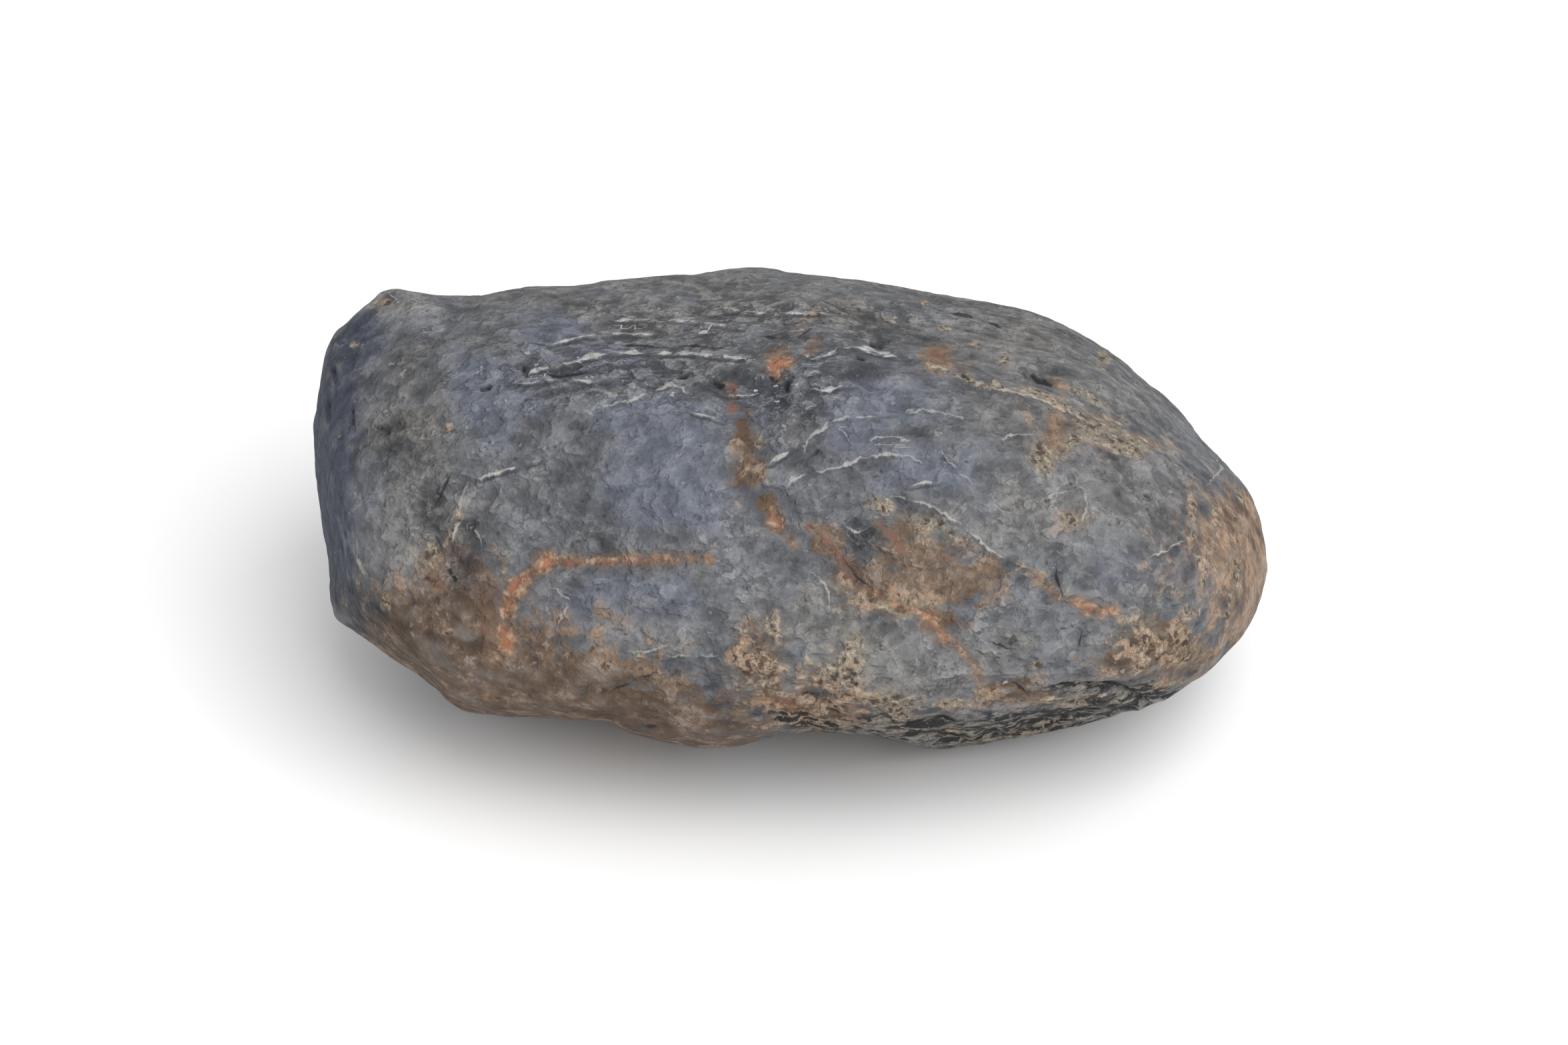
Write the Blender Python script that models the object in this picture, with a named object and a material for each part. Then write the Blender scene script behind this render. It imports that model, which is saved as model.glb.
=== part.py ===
"""A river pebble of dark slate, about as long as a palm, as one solid.

A rounded block is worn flat on a few sides and gets the lobes, troughs, ledges and pits of the stone. It is
trued to the outline that it shows from in front and above, and it rests on the worn patch of its underside.
Sizes are in metres. +X runs along the stone, -Y is its front and +Z is up.
"""

import math

import bmesh
import bpy
import numpy as np

MM = 0.001

# The rounded block that the stone is worn from.
LENGTH = 124 * MM
DEPTH = 84 * MM
HEIGHT = 54 * MM
ROUNDNESS = 2.25  # 2 is an ellipsoid, and more is boxier
CELL = 1.05 * MM  # size of the cells that the form is worked in
FACES = 9400  # triangles left on the finished stone

# The stone is known from one side: from in front, looking down at it, from about an arm's length.
SIGHT_ELEVATION = 36  # degrees above the horizon
SIGHT_DISTANCE = 460 * MM
BACK_ELEVATION = 30  # the view from behind, which places what is on the far side

# The stone's edge as it shows from in front, right and up of its middle, in millimetres, clockwise.
OUTLINE = [
    (-59.8, 9.7), (-59.3, 12.4), (-57.8, 21.0), (-55.6, 23.6), (-53.4, 25.6), (-50.4, 27.7),
    (-46.4, 27.4), (-39.7, 26.8), (-36.8, 27.4), (-32.0, 28.0), (-24.3, 28.3), (-22.8, 28.9),
    (-14.0, 29.2), (-7.4, 30.1), (-2.0, 30.3), (0.1, 29.6), (10.0, 28.7), (18.9, 26.8),
    (26.2, 25.9), (33.6, 23.7), (40.9, 19.3), (47.5, 14.0), (52.0, 8.7), (57.2, 3.1),
    (59.6, -2.7), (60.0, -7.6), (59.1, -11.4), (56.8, -16.9), (48.5, -23.5), (41.1, -26.4),
    (27.0, -29.2), (16.8, -30.3), (13.1, -28.9), (4.8, -28.1), (-0.2, -28.4), (-10.4, -30.3),
    (-20.3, -28.1), (-23.1, -26.8), (-38.0, -26.2), (-42.1, -25.0), (-45.4, -21.8), (-54.8, -15.7),
    (-57.2, -13.4), (-58.0, -6.3), (-59.3, 2.7),
]
OUTLINE_STEPS = 360  # directions in which the edge is measured
BROAD_SPAN = 25  # steps over which the broad part of the trueing is evened out
BROAD_HOLD = 1.6  # how quickly the broad trueing fades from the edge towards the middle
FINE_HOLD = 7  # the same for the rest of it, which fades as well where the surface turns to or from the viewer
CURVE_STEPS = 5  # pieces that each stretch of a line is curved in

# Sides worn flat: the way each faces (degrees round from the front, degrees up), how far it is from the
# middle, and how soft its edges are, in millimetres.
WORN_SIDES = {
    "broken left end": (-80, 8, 56.0, 2.0),
    "front shoulder": (-12, 42, 34.2, 3.5),
    "upper face": (165, 74, 26.8, 3.5),
    "right shoulder": (112, 46, 42.5, 4.0),
    "lower front left": (-30, -40, 39.0, 6.0),
    "lower front right": (38, -42, 40.5, 6.0),
    "right nose": (72, 12, 57.5, 4.0),
    "back": (176, 14, 39.5, 4.0),
    "back left": (-140, 22, 47.5, 3.5),
    "back right": (142, -20, 46.5, 3.5),
}

# Broad lobes on the front: middle (right, up), half sizes, and height, in millimetres.
FRONT_LOBES = {
    "left lobe": ((-27, 9), (22, 13), 1.5),
    "right lobe": ((20, 8), (20, 12), 1.3),
    "low lobe": ((-21, -12.5), (14, 5.5), 1.0),
    "nose lobe": ((41, -6), (12, 9), 0.9),
    "lower middle": ((8, -21), (9, 6), 0.8),
}
BACK_LOBES = {
    "back hump": ((22, 4), (22, 13), 1.6),
    "back heel": ((-30, -2), (18, 12), 1.2),
}

# Troughs on the front: width and depth, and the line each follows.
FRONT_TROUGHS = {
    "rusty trough": (
        9.0, 1.3, [(-2, 22), (-4.6, 12.6), (-5.6, 4.8), (-2, -2), (4.2, -5.6), (10.2, -11.5), (18, -15.4), (24, -21)],
    ),
    "groove round the low lobe": (
        2.6, 0.6, [(-36, -19), (-35.1, -13), (-32.7, -9), (-28.7, -6.8), (-20.3, -6.6), (-8, -6.8)],
    ),
    "notch behind the left corner": (3.2, 1.0, [(-39.6, 27.5), (-43.5, 23.3), (-47.5, 18.5)]),
    "dip above the lower edge": (5.0, 0.8, [(1.5, -29), (3.5, -24), (2.5, -18)]),
}
BACK_TROUGHS = {
    "back trough": (10.0, 1.1, [(14, 14), (6, 6), (-4, 0), (-6, -10), (2, -18)]),
    "back groove": (3.0, 0.6, [(-44, 8), (-34, 12), (-20, 11)]),
}

# Ledges: the drop, how far the low side runs before it rises again, and the line, with the low side on the
# right hand of someone who walks it.
FRONT_LEDGES = {
    "right ledge": (0.65, 8.0, [(9, 4), (12.1, 1.8), (19, -1.1), (25.9, -6.1), (31.8, -9.5), (38.7, -12.8), (45, -16)]),
    "top right ridge": (0.5, 9.0, [(52, 3), (43.6, 8.7), (33.8, 13.6), (24.9, 16.1), (17, 19.5), (10, 21)]),
    "upper bedding ledge": (0.35, 3.5, [(-6, 19), (-20, 19.6), (-32, 16.6), (-38, 13)]),
    "second bedding ledge": (0.35, 3.5, [(-6, 14), (-16, 15.8), (-26, 13.2), (-34, 9.5)]),
    "right bedding ledge": (0.35, 3.0, [(16, 6.6), (8, 6.2), (3, 4.6), (0, 3.2)]),
    "lowest ledge": (0.9, 3.5, [(12, -27.6), (20, -27.6), (31, -25.4), (43, -23.2), (51, -18.5)]),
    "lower ledge": (0.7, 2.6, [(29, -23.4), (36, -23.2), (44, -20.6), (50, -16)]),
}
BACK_LEDGES = {
    "back ledge": (0.5, 14.0, [(-44, 2), (-31, -2), (-19, 1), (-7, -5), (8, -8), (25, -14)]),
    "back bedding": (0.35, 4.0, [(40, 12), (26, 17), (10, 18)]),
}

# Pits: middle (right, up), half width and depth, in millimetres.
FRONT_PITS = [
    (-1.2, 16.4, 1.3, 0.9), (-7.4, 15.0, 1.1, 0.7), (11.3, 20.3, 1.2, 0.7), (32.0, 16.4, 1.4, 0.7),
    (18.2, 0.2, 1.3, 0.6), (-1.5, -1.2, 1.2, 0.7), (-2.0, -26.0, 1.5, 0.8), (24.4, -9.0, 1.1, 0.5),
    (-43.0, -14.5, 1.3, 0.5), (37.5, -22.0, 1.2, 0.8),
]
BACK_PITS = [(12, 14, 1.6, 0.9), (-20, 4, 1.3, 0.7), (34, -4, 1.5, 0.8), (-4, -16, 1.4, 0.7)]

# Random unevenness all over: span of one swell and its height, in millimetres, and a seed.
SWELLS = [(34, 0.55, 11), (15, 0.24, 12), (6.5, 0.10, 13)]
WAVES = 14

# The patch that the stone rests on.
REST_SINK = 1.7 * MM  # how much of the rounded underside is worn away
REST_SOFTNESS = 0.9 * MM
REST_TOUCH = 0.12 * MM  # what is this near the ground lies on it

SLATE_GREY = (0.115, 0.118, 0.128, 1.0)
SLATE_ROUGHNESS = 0.62


def clear_scene():
    for obj in list(bpy.data.objects):
        bpy.data.objects.remove(obj, do_unlink=True)


def facing(round_from_front, up):
    """The unit vector that points those degrees round from the front, towards the right, and up."""
    turn, lift = math.radians(round_from_front), math.radians(up)
    return np.array(
        [math.sin(turn) * math.cos(lift), -math.cos(turn) * math.cos(lift), math.sin(lift)]
    )


class Sight:
    """A line of sight to the stone's middle, for placing what shows from there."""

    def __init__(self, round_from_front, elevation):
        self.near = facing(round_from_front, elevation)
        self.right = facing(round_from_front + 90, 0)
        self.up = np.cross(self.near, self.right)

    def places(self, points):
        """Where each point shows: right and up of the stone's middle."""
        closer = SIGHT_DISTANCE / (SIGHT_DISTANCE - points @ self.near)
        return np.stack([points @ self.right * closer, points @ self.up * closer], axis=1)

    def shows(self, outward):
        """1 where the surface is turned to the viewer, 0 where it is turned away, and a soft change between."""
        return smooth_step((outward @ self.near + 0.05) / 0.3)


FRONT = Sight(0, SIGHT_ELEVATION)
BACK = Sight(180, BACK_ELEVATION)


def smooth_step(share):
    share = np.clip(share, 0, 1)
    return share * share * (3 - 2 * share)


def positions(obj):
    points = np.empty(len(obj.data.vertices) * 3, np.float32)
    obj.data.vertices.foreach_get("co", points)
    return points.reshape(-1, 3).astype(float)


def place(obj, points):
    obj.data.vertices.foreach_set("co", points.astype(np.float32).ravel())
    obj.data.update()


def outward(obj):
    """The direction that the surface faces at each vertex."""
    normals = np.empty(len(obj.data.vertices) * 3, np.float32)
    obj.data.vertex_normals.foreach_get("vector", normals)
    return normals.reshape(-1, 3).astype(float)


def gridded_cube():
    """A cube from -1 to 1, cut so that its cells come out even on the stone."""
    bpy.ops.mesh.primitive_cube_add(size=2)
    obj = bpy.context.object
    cube = bmesh.new()
    cube.from_mesh(obj.data)
    for axis, size in enumerate((LENGTH, DEPTH, HEIGHT)):
        whole = [e for e in cube.edges if abs(e.verts[0].co[axis] - e.verts[1].co[axis]) > 1.9]
        bmesh.ops.subdivide_edges(cube, edges=whole, cuts=round(size / CELL) - 1)
    cube.to_mesh(obj.data)
    cube.free()
    return obj


def round_off(points):
    """The cube's points moved onto the rounded block."""
    spread = np.tan(points * math.pi / 4)
    reach = (np.abs(spread) ** ROUNDNESS).sum(axis=1) ** (1 / ROUNDNESS)
    return spread / reach[:, None] * np.array([LENGTH, DEPTH, HEIGHT]) / 2


def wear_flat(points):
    for turn, lift, distance, softness in WORN_SIDES.values():
        way = facing(turn, lift)
        over = (points @ way - distance * MM) / (softness * MM)
        points = points - np.outer(np.logaddexp(0, over) * softness * MM, way)
    return points


def swells(points, span, seed):
    """A smooth random height, about -1 to 1, which rises and falls once in each span."""
    draw = np.random.default_rng(seed)
    height = np.zeros(len(points))
    for _ in range(WAVES):
        way = draw.normal(size=3)
        way *= 2 * math.pi / (span * draw.uniform(0.75, 1.5) * np.linalg.norm(way))
        height += np.sin(points @ way + draw.uniform(0, 2 * math.pi))
    return height / math.sqrt(WAVES)


def curved(corners, closed=False):
    """Points on one smooth curve through the corners, which are in millimetres."""
    corners = np.array(corners, float) * MM
    first, last = 2 * corners[0] - corners[1], 2 * corners[-1] - corners[-2]
    if closed:
        first, last = corners[-1], corners[0]
    run = np.vstack([first, corners, last] + [corners[1]] * closed)
    before, start, end, after = run[:-3], run[1:-2], run[2:-1], run[3:]
    share = np.linspace(0, 1, CURVE_STEPS, endpoint=False)[:, None, None]
    curve = start + share * (end - before) / 2
    curve += share**2 * (before - 2.5 * start + 2 * end - after / 2)
    curve += share**3 * (1.5 * (start - end) + (after - before) / 2)
    points = curve.transpose(1, 0, 2).reshape(-1, 2)
    return points if closed else np.vstack([points, corners[-1]])


def beside(places, line):
    """The distance from each place to a line, above 0 on its left hand, and the share of the line passed."""
    line = curved(line)
    lengths = np.linalg.norm(np.diff(line, axis=0), axis=1)
    nearest = np.full(len(places), np.inf)
    side = np.zeros(len(places))
    passed = np.zeros(len(places))
    for i, length in enumerate(lengths):
        step = line[i + 1] - line[i]
        share = np.clip((places - line[i]) @ step / length**2, 0, 1)
        gap = places - line[i] - share[:, None] * step
        distance = np.linalg.norm(gap, axis=1)
        closer = distance < nearest
        nearest[closer] = distance[closer]
        side[closer] = np.sign(step[0] * gap[closer, 1] - step[1] * gap[closer, 0])
        passed[closer] = lengths[:i].sum() + share[closer] * length
    return side * nearest, passed / lengths.sum()


def ends_fade(passed):
    """Takes a line's relief down to nothing at both of its ends."""
    return smooth_step(passed / 0.15) * smooth_step((1 - passed) / 0.15)


def lobe_height(places, middle, half_size, height):
    apart = (places / MM - middle) / half_size
    return height * np.exp(-(apart**2).sum(axis=1))


def trough_height(places, width, depth, line):
    across, passed = beside(places, line)
    return -depth * np.exp(-((2 * across / (width * MM)) ** 2)) * (0.15 + 0.85 * ends_fade(passed))


def ledge_height(places, drop, run, line):
    across, passed = beside(places, line)
    below = -across / MM
    step = smooth_step(below / 1.5 + 0.5) * np.exp(-np.clip(below / run, 0, None) ** 2)
    lip = 0.3 * np.exp(-((below + 0.9) ** 2))
    return drop * (lip - step) * ends_fade(passed)


def pit_height(places, right, up, half_width, depth):
    apart = np.linalg.norm(places / MM - (right, up), axis=1) / half_width
    return -depth * np.exp(-(apart**2))


def relief(points, normals, sight, lobes, troughs, ledges, pits):
    """The height in metres that one side's lobes, troughs, ledges and pits add along the surface's normal."""
    places = sight.places(points)
    height = np.zeros(len(points))
    for middle, half_size, rise in lobes.values():
        height += lobe_height(places, middle, half_size, rise)
    for width, depth, line in troughs.values():
        height += trough_height(places, width, depth, line)
    for drop, run, line in ledges.values():
        height += ledge_height(places, drop, run, line)
    for pit in pits:
        height += pit_height(places, *pit)
    return height * MM * sight.shows(normals)


def outline_reach(turns):
    """How far the edge is from the middle, in each direction of the view from in front."""
    edge = curved(OUTLINE, closed=True)
    edge = (np.roll(edge, 1, axis=0) + edge + np.roll(edge, -1, axis=0)) / 3
    around = np.arctan2(edge[:, 1], edge[:, 0])
    return np.interp(turns, around, np.hypot(edge[:, 0], edge[:, 1]), period=2 * math.pi)


def true_to_outline(points, normals):
    """Moves the points across the line of sight until the stone's edge shows where OUTLINE has it."""
    edge_on = (1 - (normals @ FRONT.near) ** 2) ** FINE_HOLD
    width = 2 * math.pi / OUTLINE_STEPS
    turns = -math.pi + width * (np.arange(OUTLINE_STEPS) + 0.5)
    for _ in range(3):
        places = FRONT.places(points)
        turn = np.arctan2(places[:, 1], places[:, 0])
        reach = np.hypot(places[:, 0], places[:, 1])
        edge = np.zeros(OUTLINE_STEPS)
        np.maximum.at(edge, ((turn + math.pi) / width).astype(int) % OUTLINE_STEPS, reach)
        edge = (np.roll(edge, 1) + 2 * edge + np.roll(edge, -1)) / 4
        wanted = outline_reach(turns) / edge - 1
        broad = sum(np.roll(wanted, i - BROAD_SPAN // 2) for i in range(BROAD_SPAN)) / BROAD_SPAN
        share = reach / np.interp(turn, turns, edge, period=2 * math.pi)
        grow = np.interp(turn, turns, broad, period=2 * math.pi) * share**BROAD_HOLD
        grow += np.interp(turn, turns, wanted - broad, period=2 * math.pi) * share**FINE_HOLD * edge_on
        flat = points - np.outer(points @ FRONT.near, FRONT.near)
        points = points + grow[:, None] * flat
    return points


def wear_rest(points):
    """Wears the lowest part of the underside to a level patch, and sets the stone on the ground."""
    ground = points[:, 2].min() + REST_SINK
    height = np.logaddexp(0, (points[:, 2] - ground) / REST_SOFTNESS) * REST_SOFTNESS
    middle = (points.min(axis=0) + points.max(axis=0)) / 2
    level = np.maximum(height - REST_SOFTNESS / 2, 0)
    return np.stack([points[:, 0] - middle[0], points[:, 1] - middle[1], level], axis=1)


def thin_out(obj):
    """Leaves FACES triangles, small where the stone is rough and larger where it is smooth."""
    obj.data.calc_loop_triangles()
    thinning = obj.modifiers.new("thin out", "DECIMATE")
    thinning.ratio = FACES / len(obj.data.loop_triangles)
    thinned = obj.evaluated_get(bpy.context.evaluated_depsgraph_get())
    mesh = bpy.data.meshes.new_from_object(thinned)
    obj.modifiers.remove(thinning)
    obj.data = mesh
    points = positions(obj)
    points[points[:, 2] < REST_TOUCH, 2] = 0
    place(obj, points)


def slate():
    material = bpy.data.materials.new("slate")
    material.use_nodes = True
    shader = material.node_tree.nodes["Principled BSDF"]
    shader.inputs["Base Color"].default_value = SLATE_GREY
    shader.inputs["Roughness"].default_value = SLATE_ROUGHNESS
    shader.inputs["Metallic"].default_value = 0.0
    material.diffuse_color = SLATE_GREY
    return material


def shape_stone():
    """The whole form, finely cut, around the middle of the stone as it is seen from in front."""
    pebble = gridded_cube()
    place(pebble, wear_flat(round_off(positions(pebble))))
    points = positions(pebble)
    for span, height, seed in SWELLS:
        points = points + outward(pebble) * (swells(points, span * MM, seed) * height * MM)[:, None]
    place(pebble, points)
    place(pebble, true_to_outline(points, outward(pebble)))
    points, normals = positions(pebble), outward(pebble)
    height = relief(points, normals, FRONT, FRONT_LOBES, FRONT_TROUGHS, FRONT_LEDGES, FRONT_PITS)
    height += relief(points, normals, BACK, BACK_LOBES, BACK_TROUGHS, BACK_LEDGES, BACK_PITS)
    place(pebble, true_to_outline(points + normals * height[:, None], normals))
    return pebble


def build_pebble(collection):
    pebble = shape_stone()
    place(pebble, wear_rest(positions(pebble)))
    thin_out(pebble)
    pebble.name = pebble.data.name = "pebble"
    pebble.data.materials.clear()
    pebble.data.materials.append(slate())
    pebble.data.shade_smooth()
    for holder in list(pebble.users_collection):
        holder.objects.unlink(pebble)
    collection.objects.link(pebble)
    return pebble


def main():
    clear_scene()
    collection = bpy.data.collections.new("river pebble")
    bpy.context.scene.collection.children.link(collection)
    build_pebble(collection)


main()
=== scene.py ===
"""A river pebble of dark slate, with rusty seams, pale veins, crust and split beds, on a plain pale floor.

Sizes are in metres, +X runs along the stone, -Y is its front and +Z is up. Marks are given in millimetres.
"""

import math

import bpy
import numpy as np
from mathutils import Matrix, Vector, noise


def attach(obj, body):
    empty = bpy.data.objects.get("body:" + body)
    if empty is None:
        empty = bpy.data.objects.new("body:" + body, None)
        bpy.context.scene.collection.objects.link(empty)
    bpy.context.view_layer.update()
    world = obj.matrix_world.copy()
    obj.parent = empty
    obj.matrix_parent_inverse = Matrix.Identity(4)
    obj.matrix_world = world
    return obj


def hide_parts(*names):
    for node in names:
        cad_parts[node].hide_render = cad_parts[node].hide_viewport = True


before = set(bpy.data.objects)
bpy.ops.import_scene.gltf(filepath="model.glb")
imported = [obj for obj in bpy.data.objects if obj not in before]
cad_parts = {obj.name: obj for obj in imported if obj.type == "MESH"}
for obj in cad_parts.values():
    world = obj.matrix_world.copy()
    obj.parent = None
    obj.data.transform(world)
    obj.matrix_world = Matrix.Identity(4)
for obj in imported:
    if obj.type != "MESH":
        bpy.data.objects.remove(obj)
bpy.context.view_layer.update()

# The pebble's body
# One closed piece of slate, worn round by water, with no core, shell or base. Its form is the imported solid's,
# cut into even cells of a little over half a millimetre, so that the marks further on can be carved into it.
MM = 0.001
CELL = 0.575 * MM
EASE_ROUNDS = 8  # takes the steps of the cells out

stone = bpy.data.objects.new("pebble_surface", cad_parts["pebble"].data.copy())
bpy.context.scene.collection.objects.link(stone)
bpy.ops.object.select_all(action="DESELECT")
stone.select_set(True)
bpy.context.view_layer.objects.active = stone
bpy.ops.object.mode_set(mode="EDIT")
bpy.ops.mesh.select_all(action="SELECT")
bpy.ops.mesh.remove_doubles(threshold=0.002 * MM)
bpy.ops.mesh.faces_shade_smooth()
bpy.ops.object.mode_set(mode="OBJECT")

rounding = stone.modifiers.new("rounding", "SUBSURF")
rounding.levels = rounding.render_levels = 2
cells = stone.modifiers.new("even cells", "REMESH")
cells.mode = "VOXEL"
cells.voxel_size = CELL
cells.use_smooth_shade = True
easing = stone.modifiers.new("easing", "SMOOTH")
easing.iterations = EASE_ROUNDS
for step in ("rounding", "even cells", "easing"):
    bpy.ops.object.modifier_apply(modifier=step)


def read_points():
    """The stone's points, one row each."""
    flat = np.empty(len(stone.data.vertices) * 3, np.float32)
    stone.data.vertices.foreach_get("co", flat)
    return flat.reshape(-1, 3).astype(float)


def read_outward():
    """The way that the surface faces at each point."""
    flat = np.empty(len(stone.data.vertices) * 3, np.float32)
    stone.data.vertex_normals.foreach_get("vector", flat)
    return flat.reshape(-1, 3).astype(float)


def carve(height):
    """Moves each point out by its height in millimetres, or in where that is below 0."""
    moved = read_points() + read_outward() * (height * MM)[:, None]
    moved[:, 2] = np.maximum(moved[:, 2], 0)
    stone.data.vertices.foreach_set("co", moved.astype(np.float32).ravel())
    stone.data.update()


def smooth_step(share):
    share = np.clip(share, 0, 1)
    return share * share * (3 - 2 * share)


def uneven(places, span, octaves=3):
    """Random heights of about -1 to 1, with bumps span millimetres across, at places in millimetres."""
    return np.array([noise.fractal(place, 1.0, 2.0, octaves) for place in (places / span).tolist()])


# Beds
# The slate was laid down as mud in thin level beds, gently folded since. Where the surface cuts them at a
# slant they stand out as steps that run like contour lines round the lobes. Dents from other stones lie over
# all of it.
BED_TILT = Vector((0.05, -0.10, 1.0)).normalized()
FOLD_SPAN, FOLD_HEIGHT = 16, 1.1  # millimetres, as are the rest here
RIPPLE_SPAN, RIPPLE_HEIGHT = 4, 0.2
LAYER_RUN, LAYER_THICK, LAYER_HEIGHT = 9, 1.3, 0.13
STEP_PERIOD, STEP_HEIGHT = 2.6, 0.16  # of bed from one step to the next, and of a step
STEP_SLOPE = 0.35  # share of the period that a step rises in
DENT_SPAN, DENT_HEIGHT = 6, 0.24
DIMPLE_SPAN, DIMPLE_HEIGHT = 2.4, 0.06

form = read_points() / MM
bed = form @ np.array(BED_TILT) + FOLD_HEIGHT * uneven(form, FOLD_SPAN)
bed += RIPPLE_HEIGHT * uneven(form + 50, RIPPLE_SPAN)
laid = np.stack([form[:, 0] / LAYER_RUN, form[:, 1] / LAYER_RUN, bed / LAYER_THICK], axis=1)
layers = uneven(laid, 1, 2)
in_step = bed / STEP_PERIOD % 1
steps = smooth_step((in_step - 0.5) / STEP_SLOPE + 0.5) - in_step
dents = DENT_HEIGHT * uneven(form + 20, DENT_SPAN, 4) + DIMPLE_HEIGHT * uneven(form + 70, DIMPLE_SPAN, 2)

# Where the marks lie
# What water, rust and lime left on the stone is placed by where it shows from in front and above, from behind
# and from below: millimetres right and up of the stone's middle in that view.
MIDDLE = np.array([0.0, 0.52, 24.45]) * MM
SIGHT_ELEVATION = 36
SIGHT_DISTANCE = 460 * MM
EDGE_ON, EDGE_FADE = -0.08, 0.2  # a surface comes in sight when it is about edge-on, and fades in from there


def sight_axes(round_from_front, elevation):
    """The directions to the viewer, to the viewer's right, and up, for a line of sight to the middle."""
    turn, lift = math.radians(round_from_front), math.radians(elevation)
    near = np.array([math.sin(turn) * math.cos(lift), -math.cos(turn) * math.cos(lift), math.sin(lift)])
    right = np.array([math.cos(turn), math.sin(turn), 0.0])
    return near, right, np.cross(near, right)


def seen(sight):
    """Where each point shows in a view, in millimetres, and how far it is in sight there, from 0 to 1."""
    near, right, up = sight
    points, outward = read_points() - MIDDLE, read_outward()
    closer = SIGHT_DISTANCE / (SIGHT_DISTANCE - points @ near)
    places = np.stack([points @ right * closer, points @ up * closer], axis=1) / MM
    return places, smooth_step((outward @ near - EDGE_ON) / EDGE_FADE)


FRONT = sight_axes(0, SIGHT_ELEVATION)
front_places, front_share = seen(FRONT)
back_places, back_share = seen(sight_axes(180, 30))
below_places, below_share = seen(sight_axes(20, -62))
SIDES = {
    "front": (front_places, front_share),
    "back": (back_places, back_share * (1 - front_share)),
    "below": (below_places, below_share * (1 - front_share) * (1 - back_share)),
}

TURN_STEPS = 5  # pieces that each stretch of a line is curved in
HAIR_REACH = 3.0  # millimetres each side of a hairline that it is looked for in
FAR = 9.0  # millimetres across, for points with no line near them


def bent(corners):
    """Points on one smooth curve through the corners."""
    corners = np.array(corners, float)
    run = np.vstack([2 * corners[0] - corners[1], corners, 2 * corners[-1] - corners[-2]])
    before, start, end, after = run[:-3], run[1:-2], run[2:-1], run[3:]
    share = np.linspace(0, 1, TURN_STEPS, endpoint=False)[:, None, None]
    curve = start + share * (end - before) / 2
    curve += share**2 * (before - 2.5 * start + 2 * end - after / 2)
    curve += share**3 * (1.5 * (start - end) + (after - before) / 2)
    return np.vstack([curve.transpose(1, 0, 2).reshape(-1, 2), corners[-1]])


def beside(side, corners, reach):
    """The points within reach of a line on one side of the stone: their numbers, how far across the line they
    are, above 0 on its left hand, how far along it, the line's length, and how well that side shows them."""
    places, share = SIDES[side]
    line = bent(corners)
    low, high = line.min(axis=0) - reach, line.max(axis=0) + reach
    close = np.flatnonzero((share > 0) & (places > low).all(axis=1) & (places < high).all(axis=1))
    nearest, across, along = (np.full(len(close), value) for value in (np.inf, FAR, 0.0))
    passed = 0
    for start, end in zip(line[:-1], line[1:]):
        step = end - start
        length = np.hypot(*step)
        part = np.clip((places[close] - start) @ step / length**2, 0, 1)
        gap = places[close] - start - part[:, None] * step
        distance = np.hypot(gap[:, 0], gap[:, 1])
        closer = distance < nearest
        nearest[closer] = distance[closer]
        side_of = np.where(step[0] * gap[:, 1] - step[1] * gap[:, 0] < 0, -1, 1)
        across[closer] = (distance * side_of)[closer]
        along[closer] = (passed + part * length)[closer]
        passed += length
    near = nearest < reach
    return close[near], across[near], along[near], passed, share[close[near]]


def tapered(along, length, end):
    """1 along a line, down to 0 over its last millimetres at both ends."""
    return smooth_step(along / end) * smooth_step((length - along) / end)


# Steps and splits in the beds
# Where the beds have parted there are dark cracks and small ledges, deepest in the loose leaves of the lower
# right edge. A crack has its half width and depth, and a ledge its drop and how far that runs out to its
# left, in millimetres.
CRACK_TAPER, CRACK_EASE = 1.2, 0.3  # how far a crack narrows at its ends, and how far its lips are rounded
LEDGE_TAPER, LEDGE_LIP = 4.0, 0.9  # the same for a ledge

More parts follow.
